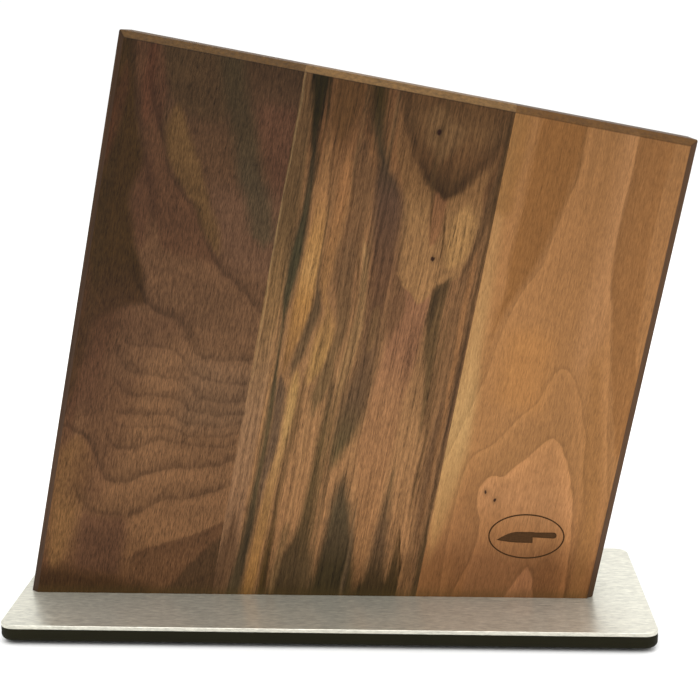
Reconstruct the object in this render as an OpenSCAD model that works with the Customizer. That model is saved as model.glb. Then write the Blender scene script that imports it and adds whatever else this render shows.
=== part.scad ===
// Magnetic knife block: two edge-glued walnut panels, back to back over rows of
// magnets, leaning on a stainless steel plate with a black board and rubber feet under it.
// Millimetres. +Z is up and -Y is the front. The origin is on the table, at the centre
// of the footprint of the whole object, which is wider at the top right than its base.

/* [Base] */
// Width of the base
base_w = 300; // [280:1:340]
// Depth of the base
base_d = 120; // [100:1:160]
// Radius of the base's corners, seen from above
base_r = 7; // [3:0.5:12]
// Thickness of the stainless steel plate
steel_t = 2; // [1.5:0.1:3]
// Thickness of the black board under the plate
board_t = 6; // [5.5:0.5:10]
// Radius of the black board's rounded bottom edge
board_edge_r = 2.5; // [0.5:0.5:4]

/* [Block] */
// Angle that the block leans to the right, in its own plane
lean = 10.9; // [0:0.1:14]
// Widths of the three staves of a panel, from left to right
stave_w = [86, 96.5, 83]; // [70:0.5:110]
// Length of the block's left edge
left_len = 271.5; // [260:0.5:300]
// Thickness of one panel; the block has two
panel_t = 16; // [15:0.5:20]
// Width and depth of the chamfer round each outer face
chamfer = 3.2; // [1:0.1:4]
// Distance from the base's left edge to the block's bottom left corner
block_inset = 4.5; // [3:0.5:12]

/* [Magnets] */
// Distance of each row of magnets below the block's top edge
row_below = [45, 110, 175]; // [40:1:180]
// Diameter of a magnet
magnet_d = 20; // [12:1:22]
// Length of a magnet, along the panel's thickness
magnet_h = 9.8; // [5:0.1:10]
// Wood left between a magnet and the panel's outer face
skin = 3; // [2:0.1:3.5]
// Number of magnets in a row of one stave
magnets_per_stave = 3; // [1:1:3]

/* [Fixings] */
// Nominal diameter of the fixing screws
screw_d = 5; // [4:0.5:6]
// Length of a fixing screw, head included
screw_len = 20; // [18:1:24]
// Distance of each pair of screws from the block's bottom left corner
screw_along = [42, 137, 228]; // [30:1:240]
// Diameter of the rubber feet
foot_d = 16; // [10:1:24]
// Thickness of the rubber feet
foot_t = 1.5; // [1:0.1:3]
// Distance of each foot's centre from the base's edges
foot_inset = 16; // [13:1:25]

/* [Hidden] */
$fn = 64;

FRONT = -1;
REAR = 1;
LEFT = 0;
CENTRE = 1;
RIGHT = 2;
TOP = 0;
MIDDLE = 1;
BOTTOM = 2;

// A little more than zero, by which a cut runs past the face that it starts from
over = 1;
// Clearance between a hidden part and the pocket that it's glued into
glue_gap = 0.2;

// Heights above the table
board_z = foot_t;
plate_z = board_z + board_t;
block_z = plate_z + steel_t;

// Distance across the staves to the left side of each of them, and to the right edge
stave_u = [0, stave_w[0], stave_w[0] + stave_w[1], stave_w[0] + stave_w[1] + stave_w[2]];
block_w = stave_u[3];

// The top right corner reaches furthest right, and the origin is midway to the base's left edge
top_right_x = block_inset + block_w * cos(lean) + left_len * sin(lean);
origin_x = max(top_right_x, base_w) / 2;
base_x = base_w / 2 - origin_x;
block_x = block_inset - origin_x;

// Pockets, keepers and the channels that they lie in
pocket_d = magnet_d + 2 * glue_gap;
keeper_t = panel_t - skin - magnet_h - glue_gap;
keeper_end = 6;

// Dowels that keep the two panels in line
dowel_d = 8;
dowel_len = 22;
dowel_at = [for (v = [row_below[0] + row_below[1], row_below[1] + row_below[2]])
            for (u = [0.5 * stave_w[0], block_w - 0.5 * stave_w[2]]) [u, left_len - v / 2]];

// Screws, and the brass inserts that they hold in the staves' bottom ends
head_d = 2 * screw_d;
head_recess = 0.8;
shank_d = screw_d - 0.1;
hole_d = screw_d + 0.5;
insert_d = 1.6 * screw_d;
insert_len = 12;
insert_groove = 0.5;
socket_af = 0.6 * screw_d;
socket_depth = 2;
screw_at = [for (y = [-panel_t / 2, panel_t / 2]) for (x = screw_along) [block_x + x, y]];

// Places its children in the block's own frame: X across the staves from the left edge,
// Z along them from the bottom left corner, and Y through the block from the seam
module in_block() {
    translate([block_x, 0, block_z]) rotate([0, lean, 0]) children();
}

// Cross section of one stave on the front side; its chamfer is on the block's outer edges only
module stave_section(which) {
    left = which == LEFT ? chamfer : 0;
    right = which == RIGHT ? chamfer : 0;
    polygon([
        [stave_u[which], 0],
        [stave_u[which], left - panel_t],
        [stave_u[which] + left, -panel_t],
        [stave_u[which + 1] - right, -panel_t],
        [stave_u[which + 1], right - panel_t],
        [stave_u[which + 1], 0]
    ]);
}

// Cuts the chamfer along the top edge of the front side
module top_chamfer() {
    side = 4 * chamfer;
    translate([-over, -panel_t, left_len - chamfer])
        rotate([45, 0, 0])
            translate([0, -side / 2, 0]) cube([block_w + 2 * over, side, side]);
}

// Distance across the block to a magnet's centre
function magnet_u(which, i) = stave_u[which] + stave_w[which] * (i + 0.5) / magnets_per_stave;

// Height of a row along the staves
function row_v(row) = left_len - row_below[row];

// The pockets and channels that the magnets, keepers and dowels fill, on the front side
module front_pockets() {
    for (row = [TOP, MIDDLE, BOTTOM]) {
        for (which = [LEFT, CENTRE, RIGHT], i = [0 : magnets_per_stave - 1])
            translate([magnet_u(which, i), skin - panel_t, row_v(row)])
                rotate([-90, 0, 0]) cylinder(d = pocket_d, h = panel_t);
        translate([keeper_end / 2, -keeper_t - glue_gap, row_v(row) - pocket_d / 2])
            cube([block_w - keeper_end, panel_t, pocket_d]);
    }
    for (at = dowel_at)
        translate([at[0], -dowel_len / 2 - glue_gap, at[1]])
            rotate([-90, 0, 0]) cylinder(d = dowel_d + glue_gap, h = panel_t);
}

// One stave: its section run along the grain, its foot cut level, its top square
module stave(side, which) {
    mirror([0, side == REAR ? 1 : 0, 0])
        difference() {
            in_block()
                difference() {
                    linear_extrude(height = left_len) stave_section(which);
                    top_chamfer();
                    front_pockets();
                }
            translate([block_x - over, -panel_t - over, block_z - block_w])
                cube([block_w * 2, panel_t + 2 * over, block_w]);
            for (at = screw_at)
                translate([at[0], at[1], block_z - over])
                    cylinder(d = insert_d, h = insert_len + over + glue_gap);
        }
}

// One row of disc magnets of one panel
module magnets(side, row) {
    color("silver")
        mirror([0, side == REAR ? 1 : 0, 0])
            in_block()
                for (which = [LEFT, CENTRE, RIGHT], i = [0 : magnets_per_stave - 1])
                    translate([magnet_u(which, i), skin - panel_t, row_v(row)])
                        rotate([-90, 0, 0]) cylinder(d = magnet_d, h = magnet_h);
}

// The steel strip behind one row of magnets, which closes their field
module keeper(side, row) {
    color("dimgray")
        mirror([0, side == REAR ? 1 : 0, 0])
            in_block()
                translate([keeper_end, -keeper_t, row_v(row) - magnet_d / 2])
                    cube([block_w - 2 * keeper_end, keeper_t - glue_gap / 2, magnet_d]);
}

module panel_dowels() {
    color("burlywood")
        in_block()
            for (at = dowel_at)
                translate([at[0], -dowel_len / 2, at[1]])
                    rotate([-90, 0, 0]) cylinder(d = dowel_d, h = dowel_len);
}

// A brass sleeve with three grooves that grip the glue
module threaded_insert() {
    difference() {
        cylinder(d = insert_d - glue_gap, h = insert_len);
        translate([0, 0, -over]) cylinder(d = screw_d, h = insert_len + 2 * over);
        for (i = [1 : 3])
            translate([0, 0, i * insert_len / 4 - insert_groove])
                difference() {
                    cylinder(d = insert_d + 1, h = 2 * insert_groove);
                    translate([0, 0, -over])
                        cylinder(d = insert_d - glue_gap - 2 * insert_groove, h = 4 * over);
                }
    }
}

module threaded_inserts() {
    color("goldenrod")
        for (at = screw_at) translate([at[0], at[1], block_z]) threaded_insert();
}

// A flat-head screw that points up, with a hexagon socket in its head
module fixing_screw() {
    cone_h = (head_d - shank_d) / 2;
    difference() {
        union() {
            cylinder(d1 = head_d, d2 = shank_d, h = cone_h);
            cylinder(d = shank_d, h = screw_len);
        }
        translate([0, 0, -over]) cylinder(d = socket_af / cos(30), h = socket_depth + over, $fn = 6);
    }
}

module fixing_screws() {
    color("lightgray")
        for (at = screw_at) translate([at[0], at[1], board_z + head_recess]) fixing_screw();
}

// The corners' centres, seen from above, from the base's own centre
corner_at = [for (x = [-1, 1]) for (y = [-1, 1]) [x * (base_w / 2 - base_r), y * (base_d / 2 - base_r)]];

// The stainless plate, with round corners and the screw holes through it
module steel_plate() {
    color("gainsboro")
        translate([0, 0, plate_z])
            linear_extrude(height = steel_t)
                difference() {
                    translate([base_x, 0]) {
                        square([base_w, base_d - 2 * base_r], center = true);
                        square([base_w - 2 * base_r, base_d], center = true);
                        for (at = corner_at) translate(at) circle(r = base_r);
                    }
                    for (at = screw_at) translate(at) circle(d = hole_d);
                }
}

// Upright section of the board, from its axis to a side that is `reach` away, round at the bottom
module board_section(reach) {
    square([reach - board_edge_r, board_t]);
    translate([0, board_edge_r]) square([reach, board_t - board_edge_r]);
    translate([reach - board_edge_r, board_edge_r]) circle(r = board_edge_r);
}

// The board with nothing cut from it
module board_blank() {
    for (turn = [0, 180])
        rotate([0, 0, turn]) {
            rotate([90, 0, 90])
                linear_extrude(height = base_w - 2 * base_r, center = true) board_section(base_d / 2);
            rotate([90, 0, 0])
                linear_extrude(height = base_d - 2 * base_r, center = true) board_section(base_w / 2);
        }
    for (at = corner_at) translate(at) rotate_extrude() board_section(base_r);
}

// The black board, with a countersunk hole for each screw
module base_board() {
    sink_d = head_d + 2 * glue_gap;
    sink_h = (sink_d - hole_d) / 2;
    color([0.06, 0.06, 0.05])
        difference() {
            translate([base_x, 0, board_z]) board_blank();
            for (at = screw_at)
                translate([at[0], at[1], board_z]) {
                    translate([0, 0, -over]) cylinder(d = hole_d, h = board_t + 2 * over);
                    translate([0, 0, -over]) cylinder(d = sink_d, h = over + head_recess);
                    translate([0, 0, head_recess]) cylinder(d1 = sink_d, d2 = hole_d, h = sink_h);
                }
        }
}

module foot(x_side, y_side) {
    color([0.12, 0.12, 0.12])
        translate([
            base_x + x_side * (base_w / 2 - foot_inset),
            y_side * (base_d / 2 - foot_inset),
            0
        ])
            cylinder(d = foot_d, h = foot_t);
}

module dark_stave(side, which) {
    color([0.27, 0.17, 0.12]) stave(side, which);
}

module figured_stave(side) {
    color([0.42, 0.29, 0.17]) stave(side, CENTRE);
}

module light_stave(side, which) {
    color([0.61, 0.41, 0.25]) stave(side, which);
}

dark_stave(FRONT, LEFT);  // front_stave_left
figured_stave(FRONT);  // front_stave_centre
light_stave(FRONT, RIGHT);  // front_stave_right
light_stave(REAR, LEFT);  // rear_stave_left
figured_stave(REAR);  // rear_stave_centre
dark_stave(REAR, RIGHT);  // rear_stave_right
magnets(FRONT, TOP);  // front_magnets_top
magnets(FRONT, MIDDLE);  // front_magnets_middle
magnets(FRONT, BOTTOM);  // front_magnets_bottom
magnets(REAR, TOP);  // rear_magnets_top
magnets(REAR, MIDDLE);  // rear_magnets_middle
magnets(REAR, BOTTOM);  // rear_magnets_bottom
keeper(FRONT, TOP);  // front_keeper_top
keeper(FRONT, MIDDLE);  // front_keeper_middle
keeper(FRONT, BOTTOM);  // front_keeper_bottom
keeper(REAR, TOP);  // rear_keeper_top
keeper(REAR, MIDDLE);  // rear_keeper_middle
keeper(REAR, BOTTOM);  // rear_keeper_bottom
panel_dowels();
threaded_inserts();
fixing_screws();
steel_plate();
base_board();
foot(-1, FRONT);  // foot_front_left
foot(1, FRONT);  // foot_front_right
foot(-1, REAR);  // foot_rear_left
foot(1, REAR);  // foot_rear_right
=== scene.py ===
import math

import bmesh
import bpy
from mathutils import Matrix, Vector


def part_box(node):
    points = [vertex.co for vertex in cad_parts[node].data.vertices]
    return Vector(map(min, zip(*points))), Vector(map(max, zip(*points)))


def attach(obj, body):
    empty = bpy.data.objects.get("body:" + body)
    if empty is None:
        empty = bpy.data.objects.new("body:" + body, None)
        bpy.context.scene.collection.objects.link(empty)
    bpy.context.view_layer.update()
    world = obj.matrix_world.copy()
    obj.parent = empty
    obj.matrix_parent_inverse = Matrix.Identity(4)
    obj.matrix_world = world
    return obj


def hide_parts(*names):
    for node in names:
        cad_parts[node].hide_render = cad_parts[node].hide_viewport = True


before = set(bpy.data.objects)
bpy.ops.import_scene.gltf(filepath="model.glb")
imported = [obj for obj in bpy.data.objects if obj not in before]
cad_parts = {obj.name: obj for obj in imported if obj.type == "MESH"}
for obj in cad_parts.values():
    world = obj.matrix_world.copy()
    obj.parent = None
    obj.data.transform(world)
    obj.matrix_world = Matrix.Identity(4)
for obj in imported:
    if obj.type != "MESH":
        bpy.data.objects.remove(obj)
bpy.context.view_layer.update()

# A magnetic knife block: three walnut staves in front and three behind, with rows of magnets
# between them, on a brushed steel plate with a black board and rubber feet under it.
# Metres, in the CAD frame: +Z is up and -Y is the front.

MM = 0.001
SIDES = ("front", "rear")
PLACES = ("left", "centre", "right")


# ---------------------------------------- the block's own frame

def corner(node, key):
    """The vertex of a CAD node that has the highest value of key."""
    return max((v.co.copy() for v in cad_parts[node].data.vertices), key=key)


# The left stave's upright edge gives the block's lean, and its foot is the frame's origin
foot_corner = corner("front_stave_left", lambda co: -co.x)
top_corner = corner("front_stave_left", lambda co: co.z)
LEAN = math.atan2(top_corner.x - foot_corner.x, top_corner.z - foot_corner.z)
LEFT_LEN = math.hypot(top_corner.x - foot_corner.x, top_corner.z - foot_corner.z) / MM
PANEL_T = -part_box("front_stave_left")[0].y / MM
PLATE_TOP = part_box("steel_plate")[1].z
CHAMFER = 3.2
BLOCK_ORIGIN = Vector((foot_corner.x, 0, PLATE_TOP))
ACROSS = Vector((math.cos(LEAN), 0, -math.sin(LEAN)))
ALONG = Vector((math.sin(LEAN), 0, math.cos(LEAN)))


def to_block(co):
    """(across the staves, depth, along them) in millimetres, from the block's bottom left corner."""
    away = co - BLOCK_ORIGIN
    return away.dot(ACROSS) / MM, co.y / MM, away.dot(ALONG) / MM


def from_block(across, depth, along):
    return BLOCK_ORIGIN + (ACROSS * across + ALONG * along + Vector((0, depth, 0))) * MM


def seam(node):
    """Where a stave ends on the right, in millimetres across the block."""
    return max(to_block(v.co)[0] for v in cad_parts[node].data.vertices)


SEAMS = [0] + [seam(f"front_stave_{place}") for place in PLACES]
BLOCK_W = SEAMS[3]


# ---------------------------------------- shader shorthand

class Value:
    """A number, vector or colour that varies from point to point. Arithmetic on it adds nodes."""

    def __init__(self, nodes, socket):
        self.nodes = nodes
        self.socket = socket

    def __add__(self, other):
        return self.nodes.maths("ADD", self, other)

    def __sub__(self, other):
        return self.nodes.maths("SUBTRACT", self, other)

    def __rsub__(self, other):
        return self.nodes.maths("SUBTRACT", other, self)

    def __mul__(self, other):
        return self.nodes.maths("MULTIPLY", self, other)

    def __truediv__(self, other):
        return self.nodes.maths("DIVIDE", self, other)

    __radd__ = __add__
    __rmul__ = __mul__


class Nodes:
    """Short calls that fill a node tree."""

    def __init__(self, tree):
        self.tree = tree

    def put(self, value, socket):
        if isinstance(value, Value):
            self.tree.links.new(value.socket, socket)
        elif socket.type == "RGBA":
            socket.default_value = (*value, 1)
        else:
            socket.default_value = value

    def node(self, kind, inputs, output=0, **settings):
        new = self.tree.nodes.new(kind)
        for name, value in settings.items():
            setattr(new, name, value)
        for key, value in inputs.items():
            self.put(value, new.inputs[key])
        return Value(self, new.outputs[output])

    def maths(self, operation, *values):
        return self.node("ShaderNodeMath", dict(enumerate(values)), operation=operation)

    def combine(self, *values):
        return self.node("ShaderNodeCombineXYZ", dict(enumerate(values)))

    def vector(self, operation, a, b, output=0):
        return self.node("ShaderNodeVectorMath", {0: a, 1: b}, output, operation=operation)

    def dot(self, a, b):
        return self.vector("DOT_PRODUCT", a, b, "Value")

    def step(self, x, low, high, start=0, end=1):
        """Goes smoothly from start, where x is at low, to end, where it is at high."""
        inputs = {"Value": x, "From Min": low, "From Max": high, "To Min": start, "To Max": end}
        return self.node("ShaderNodeMapRange", inputs, interpolation_type="SMOOTHSTEP")

    def mix(self, a, b, amount):
        return self.node(
            "ShaderNodeMix", {0: amount, 6: a, 7: b}, 2, data_type="RGBA", clamp_factor=True
        )

    def scaled(self, colour, amount):
        return self.node("ShaderNodeVectorMath", {0: colour, "Scale": amount}, operation="SCALE")

    def noise(self, vector, stretch=(1, 1, 1), detail=2, roughness=0.5, distortion=0):
        inputs = {
            "Vector": self.vector("MULTIPLY", vector, stretch),
            "Scale": 1, "Detail": detail, "Roughness": roughness, "Distortion": distortion,
        }
        return self.node("ShaderNodeTexNoise", inputs)

    def drawn(self, x, points):
        """The height at x of a smooth curve drawn through points."""
        points = sorted(points)
        low_x, high_x = points[0][0], points[-1][0]
        low_y, high_y = min(y for _, y in points), max(y for _, y in points)
        span = (high_y - low_y) or 1
        inputs = {"Value": x, "From Min": low_x, "From Max": high_x}
        along = self.node("ShaderNodeMapRange", inputs)
        height = self.node("ShaderNodeFloatCurve", {"Value": along})
        mapping = height.socket.node.mapping
        mapping.extend = "HORIZONTAL"
        knots = mapping.curves[0].points
        for i, (px, py) in enumerate(points):
            at = ((px - low_x) / (high_x - low_x), (py - low_y) / span)
            end = {0: 0, len(points) - 1: -1}.get(i)
            knot = knots.new(*at) if end is None else knots[end]
            knot.location = at
            knot.handle_type = "AUTO_CLAMPED"
        mapping.update()
        return height * span + low_y

    def ramp(self, x, stops):
        """A colour that changes through stops, each a place and a display colour."""
        low, high = stops[0][0], stops[-1][0]
        inputs = {"Value": x, "From Min": low, "From Max": high}
        along = self.node("ShaderNodeMapRange", inputs)
        result = self.node("ShaderNodeValToRGB", {"Fac": along})
        elements = result.socket.node.color_ramp.elements
        for i, (at, colour) in enumerate(stops):
            place = (at - low) / (high - low)
            end = {0: 0, len(stops) - 1: -1}.get(i)
            element = elements.new(place) if end is None else elements[end]
            element.position = place
            element.color = (*tint(*colour), 1)
        return result


class Shader(Nodes):
    """A material with one surface shader. Its place is the point on the object, in millimetres."""

    def __init__(self, name, **settings):
        self.material = bpy.data.materials.new(name)
        self.material.use_nodes = True
        super().__init__(self.material.node_tree)
        self.surface = self.tree.nodes["Principled BSDF"]
        coordinates = self.node("ShaderNodeTexCoord", {}, "Object")
        self.place = self.vector("MULTIPLY", coordinates, (1 / MM,) * 3)
        self.set(**settings)

    def set(self, **settings):
        """Sets the surface's sockets, named in lower case with underscores."""
        for name, value in settings.items():
            self.put(value, self.surface.inputs[name.replace("_", " ").title().replace("Ior", "IOR")])

    def bump(self, height, strength, distance):
        inputs = {"Height": height, "Strength": strength, "Distance": distance}
        self.set(normal=self.node("ShaderNodeBump", inputs))


# How bright the studio light makes the block's front face in red, green and blue, as a share of
# full white, and how much of that is the sheen that lies over every colour
FACE_LIGHT = (1.27, 1.21, 1.15)
SHEEN = 0.011


def tint(red, green, blue):
    """A surface colour that looks like this display colour, 0 to 255, in the studio light."""
    def linear(value):
        value /= 255
        return value / 12.92 if value <= 0.04045 else ((value + 0.055) / 1.055) ** 2.4
    lit = zip((red, green, blue), FACE_LIGHT)
    return tuple(max(linear(value) - SHEEN, 0.002) / light for value, light in lit)


# ---------------------------------------- walnut

TURNED_LEN = 290


class Walnut(Shader):
    """Walnut whose figure is painted in layers, each drawn in millimetres in the block's frame."""

    def __init__(self, name, side, base):
        super().__init__(name)
        cos, sin = math.cos(LEAN), math.sin(LEAN)
        origin = BLOCK_ORIGIN / MM
        across = self.dot(self.place, (cos, 0, -sin)) - (origin.x * cos - origin.z * sin)
        along = self.dot(self.place, (sin, 0, cos)) - (origin.x * sin + origin.z * cos)
        depth = self.dot(self.place, (0, 1, 0))
        self.height = self.dot(self.place, (0, 0, 1)) - PLATE_TOP / MM
        if side == "rear":  # the same kinds of board, turned end for end
            across = BLOCK_W - across
            along = TURNED_LEN - along
            depth = 0 - depth
        self.grain = self.combine(across, depth, along)
        wander = self.noise(self.grain, (0.06, 0.06, 0.018), 2)
        waver = self.noise(self.grain, (0.35, 0.2, 0.05), 2)
        self.u = across + (wander - 0.5) * 3 + (waver - 0.5) * 1.6 + (depth + PANEL_T) * 0.35
        self.v = along + (wander - 0.5) * 6 + (waver - 0.5) * 3
        flow = self.combine(self.u, depth, along)
        self.tick = self.noise(flow, (1.5, 1.0, 0.2), 2, 0.6)
        self.line = self.noise(flow, (0.8, 0.5, 0.018), 3, 0.65)
        self.fray = (self.tick - 0.5) * 1.0 + (self.line - 0.5) * 2.6
        self.uneven = self.step(self.noise(flow, (0.07, 0.07, 0.05), 1), 0.38, 0.6, 0.85, 1.15)
        self.colour = self.ramp(self.v, base)

    def paint(self, colour, amount):
        """Paints with a display colour, a Value, or a list of (along, display colour)."""
        if isinstance(colour, list):
            colour = self.ramp(self.v, colour)
        elif isinstance(colour, tuple):
            colour = tint(*colour)
        self.colour = self.mix(self.colour, colour, amount)

    def streak(self, colour, path, soft=2.0, strength=1.0):
        """Paints a band along the grain. Each point of path is (along, centre, half width)."""
        centre = self.drawn(self.v, [(v, u) for v, u, _ in path])
        half = self.drawn(self.v, [(v, w) for v, _, w in path])
        outside = self.maths("ABSOLUTE", self.u - centre) - half + self.fray * min(1, soft / 2)
        self.paint(colour, self.step(outside, -soft, soft, strength, 0))

    def area(self, colour, strength=1.0, soft=2.0, **sides):
        """Paints inside lines: left and right through (along, across), low and high the reverse."""
        mask = strength
        for side, path in sides.items():
            level = side in ("low", "high")
            at, by = (self.v, self.u) if level else (self.u, self.v)
            inside = at - (self.drawn(by, path) if isinstance(path, list) else path)
            if side in ("right", "high"):
                inside = 0 - inside
            mask = self.step(inside + self.fray, -soft, soft) * mask
        self.paint(colour, mask)

    def shade(self, distance, profile, amount=1):
        """Lightens and darkens by a profile drawn across a line, as growth rings do."""
        change = (self.drawn(distance, profile) - 1) * amount
        self.colour = self.scaled(self.colour, change + 1)

    def faded_line(self, at, by, path, profile, fray, fade):
        """Shades along a path drawn as at over by, which fades in round its first point."""
        away = at - self.drawn(by, path) + (self.tick - 0.5) * fray
        start = path[0][0]
        amount = self.step(by, start - fade, start + fade) * self.uneven
        self.shade(away * self.drawn(by, level_factors(path)), profile, amount)

    def ring(self, path, profile):
        """A growth ring that crosses the stave. Each point of path is (across, along)."""
        self.faded_line(self.v, self.u, path, profile, 1.4, 6)

    def long_ring(self, path, profile):
        """A growth ring that runs along the stave. Each point of path is (along, across)."""
        self.faded_line(self.u, self.v, path, profile, 1.0, 8)

    def arch(self, path, profile):
        """A pointed growth ring. Each point of path is (along, left, right); one end is its point."""
        sides = [(v, (right - left) / 2) for v, left, right in path]
        beyond = 5 if sides[-1][1] < sides[0][1] else -5
        tip = sides[-1][0] if beyond > 0 else sides[0][0]
        sides.append((tip + beyond, -14))
        centre = self.drawn(self.v, [(v, (left + right) / 2) for v, left, right in path])
        inside = self.drawn(self.v, sides) - self.maths("ABSOLUTE", self.u - centre)
        self.shade(inside * self.drawn(self.v, level_factors(sides)), profile)

    def knot(self, across, along, size):
        """A pin knot, a little taller than wide."""
        x = (self.u - across) / size
        y = (self.v - along) / (size * 1.4)
        away = self.maths("SQRT", x * x + y * y)
        self.paint(KNOT, self.step(away, 0.55, 1.15, 0.9, 0))
        self.colour = self.scaled(self.colour, self.step(away, 0.9, 3.2, 0.8, 1))

    def end_rings(self):
        """Growth rings as they show on the end of a stave, cut through by rays and open pores."""
        across, depth = (self.dot(self.grain, axis) for axis in ((1, 0, 0), (0, 1, 0)))
        x = (across - BLOCK_W * 0.4) / 60
        height = depth + x * x * 9 + (self.noise(self.grain, (0.05, 0.05, 0.05), 2) - 0.5) * 8
        ring = self.noise(self.combine(height, 0, 0), (0.45, 1, 1), 3, 0.7)
        pore = self.step(self.noise(self.grain, (3.5, 3.5, 3.5), 1), 0.6, 0.72)
        return self.step(ring, 0.36, 0.62) * 0.75 + 0.6 - pore * 0.35

    def fibres(self, ticks, lines, pores, clouds):
        """Adds fine grain, pores and slow changes of tone. Gives the height of the surface."""
        fine = self.noise(self.grain, (2.9, 2.9, 0.4), 2, 0.6)
        cloud = self.noise(self.grain, (0.07, 0.07, 0.03), 3)
        pore = self.step(self.noise(self.grain, (2.0, 2.0, 0.22), 1), 0.62, 0.76)
        light = (self.tick - 0.5) * ticks + (self.line - 0.5) * lines + (fine - 0.5) * ticks * 1.5
        self.colour = self.scaled(self.colour, light + (cloud - 0.5) * clouds + 1.0)
        self.paint(KNOT, pore * pores)
        return self.tick + fine * 0.5 - pore * 0.6

    def paint_light_and_shade(self):
        """Painted light and shade where the studio light is not even: lighter near the plate, darker far
        along, and painted shade just above the plate.
        """
        # Painted light near the plate and painted shade far along the staves
        self.colour = self.scaled(self.colour, self.step(self.height, 0, 110, 1.17, 1.0))
        self.colour = self.scaled(self.colour, self.step(self.v, 120, 280, 1.0, 0.86))
        # Painted shade in the lowest few millimetres above the plate
        self.paint(FOOT_SHADE, self.step(self.height, 0, 6, 0.4, 0))

    def other_faces(self, end_grain):
        """End grain on the ends and the top chamfers, painted shade with edge-grain lines on the sides,
        and a darker line round the top chamfers.
        """
        normal = self.node("ShaderNodeNewGeometry", {}, "True Normal")
        up = self.maths("ABSOLUTE", self.dot(normal, tuple(ALONG)))
        out = self.maths("ABSOLUTE", self.dot(normal, tuple(ACROSS)))
        speckle = self.noise(self.grain, (0.5, 0.4, 0.9), 4, 0.65) * 2 + 0.05
        rings = self.end_rings() * (speckle * 0.5 + 0.45)
        ends = tint(*end_grain)
        self.paint(self.scaled(ends, speckle), self.step(up, 0.3, 0.6, 0, 0.85))
        self.paint(self.scaled(ends, rings * 0.9), self.step(up, 0.8, 0.95))
        edge_lines = self.noise(self.grain, (0.5, 0.9, 0.02), 4, 0.7) * 2 + 0.05
        # Painted shade on the sides and side chamfers, streaked with edge-grain lines
        self.paint(self.scaled(tint(*SIDE_SHADE), edge_lines), self.step(out, 0.3, 0.6, 0, 0.85))
        arris = self.step(up, 0.05, 0.25) * self.step(up, 0.5, 0.66, 1, 0)
        self.colour = self.scaled(self.colour, 1 - arris * 0.45)

    def finish(self, end_grain, ticks, lines, pores, clouds=0.4):
        """Adds what all the staves share, and the oil's sheen."""
        relief = self.fibres(ticks, lines, pores, clouds)
        # Painted light and shade for the uneven studio light
        self.paint_light_and_shade()
        self.other_faces(end_grain)
        self.set(base_color=self.colour, specular_ior_level=0.1)
        self.set(roughness=self.step(self.line, 0.3, 0.7, 0.6, 0.46))
        self.bump(relief, 0.3, 0.15 * MM)
        return self.material


def level_factors(path):
    """(x, factor) pairs that turn a height above a drawn path into a distance from it."""
    path = sorted(path)
    factors = []
    for i, (x, _) in enumerate(path):
        (x0, y0), (x1, y1) = path[max(i - 1, 0)], path[min(i + 1, len(path) - 1)]
        factors.append((x, 1 / math.hypot(1, (y1 - y0) / (x1 - x0))))
    return factors


# Display colours, which tint() turns into surface colours
KNOT = (44, 30, 20)
# Painted shade for the band just above the plate
FOOT_SHADE = (84, 68, 42)
# Painted shade for the sides and side chamfers
SIDE_SHADE = (68, 50, 38)

OLIVE = (70, 57, 42)
BLACK = (46, 40, 27)
GOLD = [(140, (140, 100, 62)), (165, (160, 114, 66)), (180, (174, 128, 78)), (195, (166, 120, 72)),
        (215, (150, 106, 68)), (245, (122, 87, 57))]
RUSSET = (136, 94, 67)


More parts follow.
